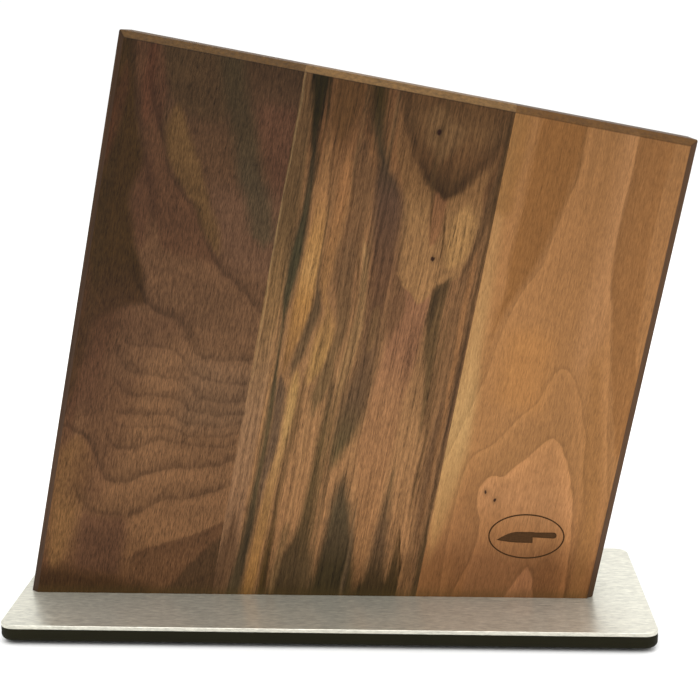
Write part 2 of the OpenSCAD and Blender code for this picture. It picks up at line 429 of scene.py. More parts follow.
def dark_walnut(name, side):
    """Dark heartwood: steep bands above, and wavy rings that cross it below."""
    wood = Walnut(name, side, [
        (0, (78, 55, 38)), (18, (98, 68, 47)), (40, (116, 82, 56)), (70, (122, 87, 60)),
        (125, (118, 85, 60)), (150, (104, 75, 54)), (190, (100, 71, 51)), (225, (90, 65, 47)),
        (245, (82, 60, 45)), (272, (72, 54, 40))])
    ring_a = [(190, 29), (202, 25.3), (210, 22.5), (220, 19.8), (231, 17), (240, 14), (247, 12),
        (256, 9.5), (272, 7)]
    ring_b = [(150, 92), (157, 85), (161, 80), (167, 73), (172, 66.5), (179, 60), (186, 55.5),
        (193, 51.5), (199, 48), (202, 44), (206, 39), (213, 33), (222, 29), (230, 26), (237, 23),
        (245, 20), (256, 17), (272, 15)]
    # Plum and claret tones
    wood.area([(95, (92, 65, 48)), (120, (85, 59, 44)), (150, (75, 53, 39))], 0.95, 9, right=[
        (80, 8), (100, 20), (150, 24)], low=92, high=150)
    wood.area((86, 61, 46), 0.6, 8, left=20, right=50, low=134, high=147)
    wood.area((86, 60, 45), 0.9, 4, left=18, right=41, low=16, high=46)
    wood.area((90, 62, 47), 0.85, 5, left=[(200, 86), (225, 75), (240, 70), (256, 67)], low=205, high=250)
    wood.area((101, 73, 55), 0.8, 8, left=[(175, 66), (195, 56), (210, 52)], right=90, low=172, high=212)
    wood.area((88, 61, 45), 0.8, 3, left=ring_a, right=ring_b, low=[
        (20, 214), (30, 190), (40, 176), (90, 176)])
    wood.streak((90, 62, 46), [
        (225, 24, -2), (236, 23, 2.5), (250, 22, 4), (262, 19, 4), (272, 18, 3)], 2)
    # A golden lens beside the long ring
    wood.streak((106, 78, 50), [
        (176, 64, -3), (188, 58, 3), (200, 51.5, 4.5), (210, 44, 6.5), (220, 38.5, 7), (230, 34.5, 6),
        (237, 33.5, 4), (244, 33, 1), (250, 33, -3)], 2.5, 0.8)
    wood.streak((82, 57, 43), [
        (172, 25, -2), (184, 24, 4), (196, 23, 5.5), (208, 22, 5), (220, 20, -2)], 4, 0.85)
    # The dark edge on the left
    wood.area([(140, (74, 53, 39)), (170, (66, 49, 34))], 1, 2.6, low=[(0, 132), (12, 140), (24, 147),
        (33, 150)], right=[(148, 34), (155, 31), (165, 28.5), (172, 25), (180, 22), (190, 19.5),
        (198, 17.5), (206, 18.5), (214, 20), (222, 18.8), (231, 16), (240, 13.5), (247, 12), (256, 9.5),
        (272, 7)])
    wood.streak((90, 56, 42), [
        (206, 3, -2), (222, 4, 2), (240, 5.5, 2.5), (252, 6.5, 1.5), (264, 6, -2)], 2, 0.9)
    wood.streak((90, 59, 44), [
        (228, 20, -2), (240, 18.5, 2), (252, 17, 2.5), (262, 17, 2), (272, 18, 1)], 2, 0.8)
    wood.streak((84, 57, 42), [(136, 5, 3), (150, 4.5, 2.5), (160, 4, 1), (172, 3, -2)], 2.5, 0.7)
    wood.streak((64, 49, 35), [(92, 3, -2), (105, 3, 3), (125, 5, 4), (140, 6, 3)], 3, 0.6)
    # Olive bands that sweep down to the right
    wood.area((76, 58, 42), 0.8, 4, left=[(236, 44), (244, 33), (252, 27), (262, 23), (272, 20)],
        right=57, low=[(30, 246), (40, 240), (50, 238), (56, 246)])
    wood.streak([(190, (84, 68, 50)), (215, (80, 66, 49)), (235, OLIVE)], [
        (184, 82, -3), (190, 81, 3), (194, 80, 6), (201, 78, 6), (210, 74, 6), (220, 69, 6), (230, 66, 6),
        (240, 62, 6), (250, 58, 6), (260, 55, 6), (272, 52, 6)], 4, 0.9)
    wood.streak((92, 66, 49), [(106, 28, -3), (118, 28, 9), (130, 32, 9), (140, 34, -3)], 5, 0.55)
    # Golden flecked patch low on the left
    wood.streak((118, 84, 53), [
        (12, 9, -2), (22, 9, 4), (34, 9.5, 5.5), (50, 10, 7), (66, 11, 8), (76, 11, 5), (84, 11, -3)], 4,
        0.85)
    # Darker towards the foot, with painted shade in the lowest band along the plate
    wood.area((96, 67, 47), 0.85, 2, left=46, high=[
        (44, 28), (50, 33), (60, 37), (68, 41), (80, 49), (90, 57)])
    wood.area((74, 55, 40), 0.9, 2.5, left=56, high=[
        (54, 0), (60, 10), (68, 20), (72, 28), (78, 36), (85, 45), (90, 50)])
    # Painted shade in the lowest band of the face, along the plate
    wood.area((64, 46, 33), 0.85, 5, high=[(0, 12), (20, 17), (45, 16), (62, 12)])
    # Growth rings
    line = [(-7, 1), (-4, 1.06), (-1.6, 1), (-0.8, 0.9), (0, 0.75), (1.1, 0.8), (2.6, 0.89), (5, 0.96),
        (8, 1)]
    strong = [(-8, 1), (-4, 1.08), (-1.8, 1), (-0.9, 0.86), (0, 0.66), (1.2, 0.72), (3, 0.85), (6, 0.94),
        (10, 1)]
    faint = [(-5, 1), (-2.5, 1.04), (-1.1, 0.96), (0, 0.76), (0.9, 0.88), (2.5, 0.96), (5, 1)]
    edge = [(-10, 1), (-5, 0.93), (-1, 0.82), (-0.2, 0.8), (0.6, 1.0), (2.5, 1.06), (6, 1), (10, 1)]
    wood.area((92, 64, 47), 0.55, 7, left=10, right=[(50, 26), (80, 32), (110, 36)], low=50, high=112)
    wood.area((112, 84, 62), 0.6, 7, left=56, low=[(50, 92), (90, 100)], high=130)
    curl = wood.noise(wood.grain, (0.03, 0.03, 0.14), 3)
    wood.colour = wood.scaled(wood.colour, (curl - 0.5) * 0.5 + 1)
    wood.long_ring(ring_b, strong)
    wood.long_ring(ring_a, line)
    wood.ring([
        (24, 162), (30, 155), (34, 149.5), (40, 146.5), (48, 145), (52, 142), (56, 137), (60, 132),
        (66, 130.5), (76, 132), (90, 134)], strong)
    wood.ring([
        (24, 132), (32, 130), (45, 131), (52, 129.5), (58, 124), (62, 121.5), (70, 120.5), (90, 123)],
        faint)
    wood.ring([
        (22, 124), (30, 118), (36, 117), (48, 117.5), (54, 118), (58, 116), (62, 112.5), (66, 111),
        (78, 112.5), (90, 115)], line)
    wood.ring([
        (26, 110), (36, 106.5), (44, 107.5), (52, 109), (58, 107), (63, 104.5), (70, 105), (90, 108)],
        line)
    wood.ring([(28, 98), (38, 97.5), (46, 99), (54, 100.5), (60, 98.5), (70, 99), (90, 104)], line)
    wood.ring([(28, 91.5), (40, 91.5), (50, 94), (56, 94.5), (62, 92), (72, 94), (90, 99.5)], faint)
    wood.ring([
        (22, 86), (28, 81.5), (34, 80.5), (40, 82), (46, 85.5), (52, 88), (66, 88), (76, 90), (90, 94)],
        line)
    wood.ring([
        (-4, 85), (8, 84), (15, 80), (20, 74), (25, 67.5), (30, 63.5), (36, 64), (44, 69), (56, 74),
        (70, 78), (80, 82), (90, 88)], strong)
    wood.ring([
        (14, 56), (18, 49.5), (24, 47), (36, 47), (43, 49), (49, 54), (55, 58.5), (66, 61.5), (76, 67),
        (90, 74)], strong)
    wood.ring([(40, 26), (46, 28), (52, 33), (58, 36), (66, 40), (74, 45), (84, 52), (90, 56)], edge)
    return wood.finish((90, 65, 38), 1.25, 0.6, 0.15)


def figured_walnut(name, side):
    """Figured walnut: black and golden streaks, a dark cup at the top and dark flames at the foot."""
    wood = Walnut(name, side, [
        (20, (118, 84, 56)), (60, (146, 104, 69)), (110, (152, 110, 73)), (150, (138, 100, 67)),
        (180, (134, 95, 64)), (215, (132, 94, 62)), (240, (116, 80, 53)), (272, (104, 72, 49))])
    # Broad tones
    wood.streak([(60, (134, 98, 70)), (110, (140, 104, 74)), (160, (132, 98, 64)), (200, (102, 77, 52)),
        (272, (96, 70, 48))], [(0, 88, 6), (100, 89, 5.5), (180, 89, 5.5), (272, 89, 4)], 1.5)
    wood.streak([(34, (106, 74, 48)), (55, (136, 96, 63)), (80, (150, 106, 70)), (128, (150, 106, 72)),
        (150, RUSSET), (178, RUSSET)], [(30, 151, 5), (60, 152, 5), (110, 150, 8), (150, 152.5, 8),
        (172, 153, 9), (182, 153, -2)], 2, 0.9)
    wood.streak((120, 86, 58), [
        (60, 178, 4), (100, 177, 5), (150, 175, 7), (190, 178, 5), (240, 183, 2)], 2, 0.8)
    wood.streak((106, 76, 53), [
        (148, 146, -2), (160, 146, 2), (172, 147, 4), (180, 146.5, 3), (190, 144, -2)], 2, 0.8)
    wood.streak((142, 99, 64), [(150, 178, 0.8), (180, 177.5, 1.5), (200, 178, 0.8), (206, 178, -2)], 1)
    wood.streak((86, 61, 40), [
        (222, 107, -6), (238, 107, 1), (250, 107, 6), (260, 107.5, 8), (272, 107.5, 9)], 4, 0.85)
    wood.area((88, 62, 42), 0.75, 3, left=[(220, 180), (235, 176), (272, 174)], low=215)
    wood.streak((80, 58, 42), [(10, 90, 6), (30, 90, 5), (50, 90, 2.5), (66, 90, -2)], 2.5, 0.85)
    wood.area((100, 70, 46), 0.65, 6, left=170, high=54)
    wood.streak((108, 78, 54), [
        (170, 120, -3), (182, 120, 5), (205, 120.5, 5.5), (225, 119.5, 5), (238, 118, 3), (250, 117, -2)],
        2, 0.75)
    # Gold below the cup
    wood.streak([(200, (146, 106, 69)), (215, (140, 102, 66)), (228, (126, 90, 58)),
        (250, (116, 82, 54))], [(172, 157, -2), (177, 156.5, 2.5), (180, 155.5, 5), (184, 154.5, 8.5),
        (187, 156.8, 12.3), (190, 158, 14), (195, 158.5, 15), (205, 159.3, 17), (215, 159, 18),
        (225, 158, 18), (240, 156, 22), (252, 156, 24)], 1.0)
    wood.streak((164, 121, 76), [
        (190, 166, -2), (197, 168, 4), (207, 169, 6), (215, 169.5, 5), (221, 170, 2), (228, 171, -3)],
        2.5)
    wood.streak((124, 82, 56), [(200, 156, -1), (208, 157, 3), (222, 157, 3.5), (230, 156, 3)], 1.5, 0.7)
    # Golden bands
    wood.streak(GOLD, [
        (128, 101, -2), (138, 101.5, 1.5), (147, 102.8, 2.8), (160, 104, 4), (180, 104.6, 4.2),
        (200, 104.5, 3.5), (215, 104, 3), (230, 103.4, 2), (242, 102.3, 0.6), (252, 102, -2)])
    wood.streak([(20, (128, 90, 52)), (40, (142, 101, 60)), (80, (148, 109, 69)), (110, (170, 130, 81)),
        (135, (160, 120, 72))], [(18, 102.5, 2.6), (35, 103.2, 2.8), (55, 104.2, 2.8), (75, 104.8, 2.5),
        (86, 105.6, 1.8), (93, 106.2, 1.6), (102, 107, 2.1), (112, 107.5, 2.4), (122, 107.6, 2.2),
        (130, 107.6, 1.2), (136, 108, -2)], 1.8)
    wood.streak([(30, (56, 45, 30)), (50, (72, 55, 36)), (85, (104, 77, 52)), (130, (98, 72, 48))], [
        (18, 109.4, 2.2), (45, 109.2, 1.7), (60, 109.2, 1.2), (85, 109.7, 1.2), (105, 110.6, 1.5),
        (120, 111.4, 1.2), (132, 111.6, 0.4), (140, 111, -2)], 1.5, 0.9)
    wood.streak([(140, (156, 116, 70)), (165, (150, 108, 68)), (220, (145, 100, 64))], [
        (124, 112.5, -2), (131, 114, 1.5), (138, 115.5, 3.6), (148, 116.4, 4), (158, 116.8, 2.6),
        (168, 114, 1.4), (178, 112.5, 2.2), (190, 112.5, 2.8), (205, 113.8, 3), (218, 113.5, 3),
        (228, 112.8, 2.3), (238, 112, -2)])
    wood.streak((150, 112, 74), [
        (118, 127, 0.5), (140, 128.8, 2.6), (152, 130, 2.6), (165, 131, 2), (178, 130, 1.8),
        (190, 128.5, 1.6), (202, 126, -1)], 1.2)
    # Dark streaks
    wood.streak([(50, OLIVE), (100, (86, 70, 49)), (190, (70, 62, 45)), (225, OLIVE), (250, BLACK)], [
        (15, 95.5, 3.4), (35, 97, 2.8), (60, 98, 2.3), (80, 98.2, 1.9), (100, 98.2, 1.8), (120, 98, 1.6),
        (132, 97.2, 0.9), (150, 96.5, 0.6), (160, 96.6, 1.2), (170, 96.7, 2.2), (185, 97, 2.6),
        (200, 97.2, 2), (212, 97.4, 1.6), (228, 97.2, 1.5), (240, 95.8, 1.7), (252, 95, 2.5),
        (272, 94, 4.2)], 1.5)
    wood.streak((102, 78, 58), [
        (60, 101, -1), (75, 101, 1.2), (100, 102.2, 2.4), (118, 101.6, 2.4), (132, 99.6, -1)], 1.5)
    wood.streak(BLACK, [
        (216, 99, -1), (226, 99.3, 0.3), (245, 99.5, 0.4), (262, 98.4, 0.6), (272, 98, 0.6)], 0.6, 0.8)
    wood.streak([(145, (96, 74, 52)), (165, (82, 65, 47)), (240, (84, 60, 42))], [
        (126, 105, -2), (134, 105.6, 1), (140, 106.6, 2), (150, 108.2, 2.5), (158, 109.5, 2.4),
        (166, 110.4, 1.8), (176, 109.7, 0.9), (190, 108.7, 0.5), (205, 107.8, 0.4), (225, 106.5, 0.4),
        (240, 105.6, 0.2), (252, 105, -1)], 1.3, 0.9)
    wood.streak((88, 63, 44), [
        (182, 117, -1), (195, 118.2, 0.4), (215, 117.5, 0.5), (235, 116, 0.4), (250, 115, 0)], 0.8, 0.8)
    wood.streak([(125, (104, 80, 54)), (170, (104, 77, 53)), (200, (116, 84, 58))], [
        (108, 117.4, -1), (118, 118, 1.6), (126, 119.6, 3), (134, 120.8, 3), (142, 121.5, 2),
        (155, 123, 2.4), (166, 122.6, 3.2), (178, 121.6, 3.6), (188, 121.2, 3.2), (197, 120.4, 1.6),
        (208, 119, -1.5)], 1.3, 0.9)
    wood.streak((88, 66, 44), [
        (160, 127.6, 0.2), (172, 127.3, 0.4), (186, 126, 0.4), (198, 124, -1)], 0.8, 0.8)
    wood.streak([(24, (66, 52, 37)), (36, (78, 61, 43)), (50, (80, 62, 43)), (70, (90, 70, 47)),
        (100, (102, 79, 52)), (125, (94, 72, 50))], [(10, 124, 12), (24, 123, 11), (34, 123, 9.5),
        (44, 123.4, 7), (54, 123.8, 4), (66, 124, 2.8), (85, 124, 2.4), (100, 124.3, 2.2),
        (114, 124.6, 2.1), (126, 124.2, 1.4), (138, 123.4, -1.5)], 2.2)
    wood.streak((112, 84, 56), [
        (16, 114, -1), (24, 114, 1), (38, 114.6, 1.6), (52, 115.5, 2), (60, 116, 0)], 1.6, 0.8)
    wood.streak((104, 78, 53), [
        (24, 130.5, -1), (32, 130.5, 0.8), (44, 130.3, 1.2), (52, 130, 1)], 1.4, 0.8)
    wood.streak([(98, (90, 74, 50)), (125, (102, 77, 55)), (180, (100, 71, 51)), (220, (88, 65, 50)),
        (240, OLIVE), (262, (58, 47, 32))], [(86, 131.5, -3), (93, 132, 1.2), (100, 132.8, 3.2),
        (108, 134.4, 5), (116, 135.6, 6), (126, 136.6, 5.8), (136, 137.6, 5), (148, 138, 4.2),
        (160, 138, 4.2), (180, 138, 5), (200, 136, 6.4), (214, 134.6, 7.2), (223, 133, 6.8),
        (230, 130.2, 4.4), (240, 126.2, 2.6), (250, 123.3, 3.4), (262, 121.4, 4), (272, 120.6, 4.2)], 3.4)
    wood.streak((122, 90, 60), [
        (146, 138, -2), (154, 138.5, 2), (164, 138.5, 2), (172, 138, -2)], 1.6, 0.7)
    wood.streak((88, 68, 46), [
        (104, 169, -1), (120, 168.4, 0.8), (135, 168, 1.4), (148, 167, 2), (160, 165.6, 3.2),
        (175, 164.8, 3.6), (181, 165.2, 3.6), (186, 167, 1.5), (190, 170, -1)], 1.4, 0.85)
    wood.streak((70, 55, 40), [
        (158, 163.6, -1), (168, 163.6, 1.2), (178, 164, 1.6), (186, 166, -1)], 1.4, 0.8)
    wood.streak((96, 70, 48), [
        (184, 171.5, -1), (190, 173, 0.6), (200, 175.8, 0.9), (210, 177.6, 1.4), (222, 179, 1.8),
        (235, 180, 1.2), (250, 181, 0.6)], 1.1, 0.9)
    # The cup and its dark rim
    wood.streak([(232, (80, 58, 40)), (243, (98, 69, 46)), (256, (104, 75, 50)), (270, (90, 64, 43))], [
        (221, 158, -4), (225, 158.5, 2), (228, 158.5, 6.5), (232, 158.5, 9.5), (237, 158.5, 12.5),
        (243, 158.5, 16.5), (250, 158, 20.5), (260, 157.5, 25), (272, 157, 28)], 2.2)
    wood.streak((118, 87, 58), [
        (238, 154, -3), (246, 154, 4), (253, 154, 7), (260, 150, 5), (268, 148, -3)], 3.5, 0.7)
    cup_rim = [(-5, 1), (-1.5, 0.93), (0.2, 0.76), (2, 0.76), (5, 0.93), (9, 1)]
    wood.arch([
        (225, 156.5, 160.5), (228, 152, 165), (232, 149, 168), (237, 146, 171), (243, 142, 175),
        (250, 137.5, 178.5), (260, 132.5, 182.5), (272, 129, 185)], cup_rim)
    wood.streak((84, 62, 42), [
        (196, 155.3, -1), (205, 154.8, 0.2), (220, 153.5, 0.6), (231, 152.2, 1)], 0.7, 0.75)
    wood.streak((96, 68, 44), [
        (190, 162.8, -1), (198, 162.3, 0.3), (210, 161.2, 0.5), (224, 160, -0.6)], 0.7, 0.75)
    # Flames at the foot
    wood.streak([(25, (56, 47, 34)), (42, (60, 50, 36)), (56, (74, 60, 44)), (70, (84, 69, 50)),
        (88, (96, 74, 52))], [(10, 142, 12), (26, 142, 11), (36, 142, 10), (46, 141.6, 8.4),
        (55, 140.8, 7.2), (64, 139.6, 6), (73, 138.8, 4.8), (80, 138.4, 3.2), (86, 138.2, 1.4),
        (94, 138, -3)], 3.0)
    wood.streak((92, 72, 52), [
        (48, 147.4, 1), (58, 147, 0.9), (70, 146.4, 0.5), (82, 145.4, -1)], 0.9, 0.85)
    wood.streak([(30, (58, 47, 33)), (42, (70, 54, 38)), (60, (94, 70, 50)), (75, (102, 76, 53)),
        (95, (112, 86, 58))], [(10, 160, 10), (26, 160, 9), (34, 161, 7.4), (42, 161.3, 4.6),
        (54, 161.2, 3.9), (64, 161, 3.3), (74, 160.8, 2.4), (84, 160.8, 1.4), (93, 160.8, 0.3),
        (104, 160.7, -2)], 2.2)
    wood.streak([(36, (62, 49, 34)), (60, (92, 68, 45))], [
        (20, 168, 7), (32, 169, 5), (40, 169.4, 3.2), (50, 169.2, 1.8), (60, 168.4, 0.7),
        (70, 167.8, -1.5)], 1.6)
    wood.streak((58, 44, 30), [
        (40, 172.6, -0.4), (45, 171.9, 0.3), (58, 169.8, 0.4), (68, 168, -0.4)], 0.6, 0.9)
    wood.streak((96, 70, 50), [
        (30, 178, -1), (45, 178.6, 0.6), (70, 177.5, 1.4), (100, 176.4, 2), (120, 176, 1.6),
        (132, 176, 0.4), (142, 176, -1)], 2.0, 0.7)
    wood.streak((100, 74, 50), [
        (60, 172.6, -1), (85, 172, 0.3), (110, 171.6, 0.5), (140, 171, 0.6), (170, 171.6, 0.4),
        (186, 172, -1)], 0.9, 0.8)
    # The dark line along the right seam
    wood.streak([(60, (76, 58, 40)), (120, (84, 62, 46)), (200, (84, 62, 42))], [
        (20, 181.6, 1.6), (50, 181.4, 1.6), (80, 181.6, 0.7), (110, 181.4, 0.8), (140, 181, 1.4),
        (180, 181.4, 0.9), (272, 181.6, 1.2)], 1.0, 0.9)
    wood.streak((152, 122, 84), [
        (95, 87, -1), (140, 86.8, 0.2), (200, 86.6, 0.4), (260, 86.6, 0.3)], 0.5, 0.5)
    wood.knot(150.9, 254, 1.1)
    wood.knot(158.6, 196, 1.0)
    return wood.finish((118, 88, 54), 0.95, 2.1, 0.3)


def light_walnut(name, side):
    """Light walnut: pointed arches, a paler strip on the left and two pin knots."""
    wood = Walnut(name, side, [
        (30, (112, 74, 46)), (55, (126, 84, 54)), (72, (150, 103, 66)), (110, (166, 117, 74)),
        (160, (168, 118, 74)), (215, (166, 116, 73)), (272, (160, 112, 70))])
    wood.streak([(60, (160, 116, 72)), (120, (190, 147, 95)), (200, (176, 130, 83))], [
        (35, 184, -5), (60, 185, 1), (90, 185.5, 5), (120, 186, 6), (150, 185.5, 4.5), (190, 185, 3.5),
        (225, 184, 2), (272, 183.5, 1)], 3.5, 0.9)
    wood.streak([(60, (128, 86, 56)), (75, (154, 106, 68)), (92, (176, 124, 82)), (120, (172, 121, 78))],
        [(50, 228, 24), (76, 226, 22), (88, 224.5, 22.5), (97, 224, 21), (102, 227.5, 16),
        (110, 229.5, 11.5), (118, 230.3, 6), (125, 231, -2)], 1.5, 0.9)
    wood.streak((154, 107, 65), [
        (50, 257, 4), (90, 255, 4.5), (120, 250, 4.5), (145, 246, 3), (165, 240, 1), (175, 236, -2)], 3,
        0.75)
    wood.area((106, 68, 41), 0.45, 9, left=232, high=70)
    wood.area((128, 86, 54), 0.8, 7, right=200, high=56)
    wood.streak((182, 130, 86), [
        (150, 234, -3), (168, 236, 4), (185, 238, 6), (215, 238, 5), (260, 236, 4)], 5, 0.6)
    wood.streak((140, 94, 64), [
        (30, 229, 12), (45, 230.5, 6.5), (56, 231.5, 2.5), (62, 232, -2)], 1.5, 0.7)
    wood.area((180, 124, 73), 0.6, 6, left=200, right=222, low=135, high=172)
    wood.streak((140, 94, 54), [
        (150, 192, -4), (175, 194, 1), (190, 198, 3), (205, 200, 6.5), (220, 202, 8), (240, 204, 10),
        (272, 205, 11)], 2.5, 0.85)
    wood.area((146, 102, 60), 0.7, 3, right=190, low=222)
    wood.streak((152, 104, 63), [
        (110, 262, -2), (140, 260, 4), (160, 256, 6), (180, 252.5, 6.5), (200, 249, 7.5), (220, 247, 7.5),
        (272, 247, 8)], 1.2, 0.9)
    outer = [(-12, 1), (-5, 0.98), (-1, 0.89), (-0.2, 0.85), (0.4, 1.1), (1.8, 1.07), (5, 1), (12, 1)]
    broad = [(-12, 1), (-5, 0.99), (-1.5, 0.94), (-0.3, 0.84), (0.4, 1.1), (2, 1.06), (5, 0.96),
        (14, 0.93), (26, 1)]
    inner = [(-16, 1), (-6, 0.97), (-1.5, 0.93), (-0.3, 0.86), (0.4, 1.26), (2, 1.22), (5, 1.08),
        (9, 1.02), (16, 1)]
    wood.arch([
        (100, 182, 262), (120, 187, 257), (140, 192, 253), (150, 194.3, 251), (160, 195.3, 248.9),
        (170, 197, 247), (180, 199.5, 245), (190, 202.5, 243), (195, 205, 241.8), (200, 207.5, 241),
        (205, 209.3, 240.4), (210, 210, 240), (220, 211.5, 239.5), (235, 213.8, 239), (250, 216, 239),
        (272, 215.4, 239)], outer)
    wood.arch([
        (40, 193, 251.6), (60, 191.8, 251.3), (80, 191.6, 251), (95, 192.2, 250.4), (105, 194, 249),
        (110, 197, 248.2), (115, 202.5, 247.4), (120, 206.5, 246.4), (125, 209.5, 245.2),
        (130, 212.5, 244), (135, 216.5, 242), (140, 220, 240.2), (145, 221.7, 238.2), (150, 223.2, 236),
        (154, 224.4, 233), (156.4, 226, 231), (157.4, 227.4, 229)], broad)
    wood.arch([
        (30, 198, 252), (42, 200, 251.6), (50, 202, 251), (57, 204, 250.6), (64, 205, 250),
        (70, 205.4, 249.4), (76, 204.8, 248.8), (82, 203, 247.6), (88, 201.7, 246.8), (93, 201.6, 246),
        (97, 202.8, 245.2), (100, 205, 244.5), (102, 211.6, 243.9), (106, 214.7, 242.6), (110, 218, 241),
        (114, 221.4, 239.2), (118, 224.2, 236.5), (121, 226.4, 234.6), (122.6, 228.4, 232.6),
        (123.4, 230.4, 230.8)], inner)
    wood.arch([
        (36, 221, 240), (44, 224, 238), (50, 226.4, 236.2), (56, 229, 234), (60, 231.2, 232)], inner)
    wood.long_ring([(150, 264), (160, 262), (172, 260), (185, 258), (200, 256), (212, 254.5), (240, 255),
        (272, 256.4)], [(-3, 1), (-0.8, 0.98), (0, 1.08), (0.8, 1.0), (3, 1)])
    wood.knot(204.7, 92.5, 0.75)
    wood.knot(209.7, 89.4, 0.65)
    return wood.finish((86, 59, 31), 0.6, 0.5, 0.2, 0.2)


# ---------------------------------------- other materials

def brushed_steel(name, colour, roughness):
    """Satin stainless steel with a fine brushed grain along X."""
    steel = Shader(name, metallic=0.68, specular_ior_level=0.5, anisotropic=0.3)
    fine = steel.noise(steel.place, (0.3, 3.2, 3.2), 2, 0.6)
    dash = steel.noise(steel.place, (0.18, 1.3, 1.3), 3, 0.75)
    cloud = steel.noise(steel.place, (0.25, 0.5, 0.5), 3, 0.65)
    light = (fine - 0.5) * 0.8 + (dash - 0.5) * 0.9 + (cloud - 0.5) * 0.6
    steel.set(base_color=steel.scaled(colour, light + 1.0))
    steel.set(roughness=steel.step(dash, 0.3, 0.7, roughness - 0.05, roughness + 0.07))
    steel.bump(fine + dash * 0.7, 0.3, 0.05 * MM)
    return steel.material


def matt_black(name):
    """The underboard: a dense black sheet with a faint mottle."""
    black = Shader(name, specular_ior_level=0.12)
    grit = black.noise(black.place, (2.2, 2.2, 2.2), 2)
    cloud = black.noise(black.place, (0.05, 0.05, 0.15), 3)
    mottle = (grit - 0.5) * 0.5 + (cloud - 0.5) * 0.4 + 1.0
    black.set(base_color=black.scaled(tint(42, 40, 31), mottle))
    black.set(roughness=black.step(grit, 0.3, 0.7, 0.6, 0.85))
    black.bump(grit, 0.3, 0.06 * MM)
    return black.material


def plain_metal(name, colour, roughness, stretch, metallic=1.0):
    """A small metal part, with tool marks in one direction."""
    metal = Shader(name, metallic=metallic)
    marks = metal.noise(metal.place, stretch, 3, 0.6)
    spots = metal.noise(metal.place, (0.4, 0.4, 0.4), 2)
    metal.set(base_color=metal.scaled(colour, (marks - 0.5) * 0.25 + (spots - 0.5) * 0.3 + 1.0))
    metal.set(roughness=metal.step(spots, 0.3, 0.7, roughness - 0.08, roughness + 0.1))
    metal.bump(marks, 0.25, 0.04 * MM)
    return metal.material


def rubber(name):
    """Soft grey-black rubber with a fine grain."""
    soft = Shader(name, specular_ior_level=0.25)
    grain = soft.noise(soft.place, (4, 4, 4), 2)
    dust = soft.noise(soft.place, (0.5, 0.5, 0.5), 3)
    soft.set(base_color=soft.mix((0.018, 0.018, 0.018), (0.05, 0.05, 0.048), dust))
    soft.set(roughness=soft.step(grain, 0.3, 0.7, 0.7, 0.9))
    soft.bump(grain, 0.4, 0.05 * MM)
    return soft.material


def beech(name):
    """The dowels' beech, with short dark flecks."""
    wood = Shader(name, roughness=0.6, specular_ior_level=0.3)
    fleck = wood.step(wood.noise(wood.place, (1.5, 0.2, 1.5), 2), 0.55, 0.7)
    cloud = wood.noise(wood.place, (0.3, 0.1, 0.3), 2)
    colour = wood.mix((0.46, 0.27, 0.15), (0.58, 0.37, 0.21), cloud)
    wood.set(base_color=wood.mix(colour, (0.25, 0.12, 0.06), fleck * 0.6))
    wood.bump(cloud, 0.3, 0.1 * MM)
    return wood.material


def engraving(name):
    """The scorched floor of the engraved mark, in fine level scan lines."""
    burnt = Shader(name, specular_ior_level=0.15, roughness=0.8)
    lines = burnt.noise(burnt.place, (0.25, 0.25, 3.0), 2, 0.7)
    grain = burnt.noise(burnt.place, (1.4, 1.4, 0.3), 3, 0.6)
    colour = burnt.mix(tint(60, 41, 27), tint(104, 74, 48), lines * 0.7 + (grain - 0.3) * 0.5)
    burnt.set(base_color=colour)
    burnt.bump(lines, 0.4, 0.08 * MM)
    return burnt.material


# ---------------------------------------- meshes

SMOOTH_ANGLE = math.radians(35)  # edges sharper than this stay sharp in the shading


def add_object(name, bm):
    """Makes a piece from a bmesh, smooth-shaded except across sharp edges."""
    mesh = bpy.data.meshes.new(name)
    for face in bm.faces:
        face.smooth = True
    bm.to_mesh(mesh)
    bm.free()
    mesh.set_sharp_from_angle(angle=SMOOTH_ANGLE)
    made = bpy.data.objects.new(name, mesh)
    bpy.context.scene.collection.objects.link(made)
    return made


def apply_modifiers(piece):
    """Replaces a piece's mesh by the one that its modifiers make."""
    bpy.context.view_layer.update()
    depsgraph = bpy.context.evaluated_depsgraph_get()
    mesh = bpy.data.meshes.new_from_object(piece.evaluated_get(depsgraph))
    piece.modifiers.clear()
    piece.data = mesh


def settle_normals(piece):
    """Shades flat faces flat, and only the narrow bands between them round."""
    normals = piece.data.attributes.get("custom_normal")
    if normals:
        piece.data.attributes.remove(normals)
    piece.data.set_sharp_from_angle(angle=SMOOTH_ANGLE)
    weighted = piece.modifiers.new("normals", "WEIGHTED_NORMAL")
    weighted.keep_sharp = True
    weighted.weight = 100
    apply_modifiers(piece)


def cut(piece, cutter):
    """Cuts one piece with another, which is then removed."""
    boolean = piece.modifiers.new("cut", "BOOLEAN")
    boolean.operation = "DIFFERENCE"
    boolean.solver = "EXACT"
    boolean.object = cutter
    apply_modifiers(piece)
    bpy.data.objects.remove(cutter)


def rounded_copy(node, name, width, share):
    """A piece with a CAD node's shape, and its edges rounded by width times share(vertex, vertex)."""
    bm = bmesh.new()
    bm.from_mesh(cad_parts[node].data)
    bmesh.ops.remove_doubles(bm, verts=bm.verts, dist=0.001 * MM)
    bmesh.ops.dissolve_limit(bm, angle_limit=math.radians(1), verts=bm.verts, edges=bm.edges)
    weights = bm.edges.layers.float.new("bevel_weight_edge")
    for edge in bm.edges:
        if edge.calc_face_angle(0) > math.radians(20):
            edge[weights] = share(*(v.co for v in edge.verts))
    piece = add_object(name, bm)
    bevel = piece.modifiers.new("arris", "BEVEL")
    bevel.limit_method = "WEIGHT"
    bevel.width = width * MM
    bevel.segments = 3
    bevel.use_clamp_overlap = False
    apply_modifiers(piece)
    settle_normals(piece)
    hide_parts(node)
    return piece


TOUCH = 0.05  # how near, in millimetres, counts as touching


